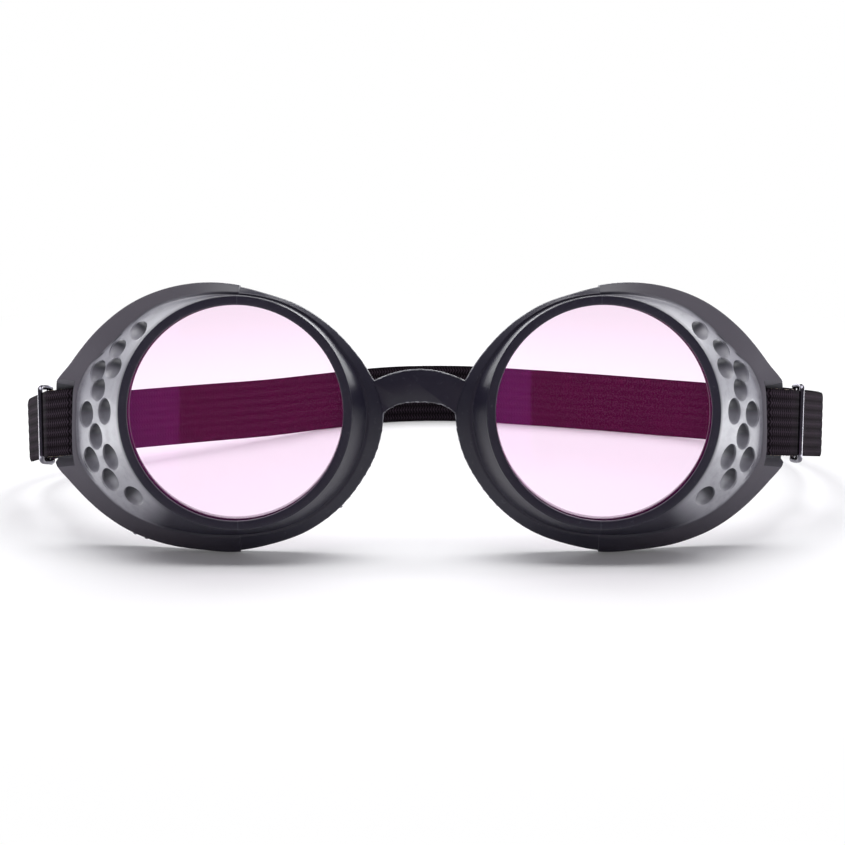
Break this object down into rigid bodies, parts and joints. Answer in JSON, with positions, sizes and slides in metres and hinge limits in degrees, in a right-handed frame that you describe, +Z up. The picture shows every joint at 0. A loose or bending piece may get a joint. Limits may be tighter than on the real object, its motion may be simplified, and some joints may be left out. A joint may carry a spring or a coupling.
{
  "type": "flying goggles",
  "caption": "Round-lens flying goggles with pale pink flat lenses, dimpled side shields and a ribbed elastic strap with metal slides.",
  "frame": {"origin": "centre of the box round the goggles, on the floor that they stand on", "axes": "+X towards the wearer's left, +Y from the lenses back to the strap, +Z up"},
  "size_m": [0.1974, 0.1324, 0.0617],
  "materials": {
    "moulded_plastic": "satin",
    "tinted_lens": "clear pale pink",
    "black_plastic": "matte",
    "black_elastic": "ribbed webbing",
    "gunmetal": "polished dark wire"
  },
  "bodies": {
    "goggles": {"frame": "moulded_plastic", "head_strap": "black_elastic", "left_lens": "tinted_lens", "right_lens": "tinted_lens", "left_retaining_ring": "black_plastic", "right_retaining_ring": "black_plastic"},
    "left_slide": {"left_slide": "gunmetal"},
    "right_slide": {"right_slide": "gunmetal"}
  },
  "joints": [
    {"name": "left_slide_travel", "type": "slide", "parent": "goggles", "child": "left_slide", "axis": [0.4055, 0.8799, -0.2477], "range_m": [-0.0052, 0.0063]},
    {"name": "right_slide_travel", "type": "slide", "parent": "goggles", "child": "right_slide", "axis": [-0.2739, 0.917, -0.2902], "range_m": [-0.0029, 0.0086]}
  ]
}
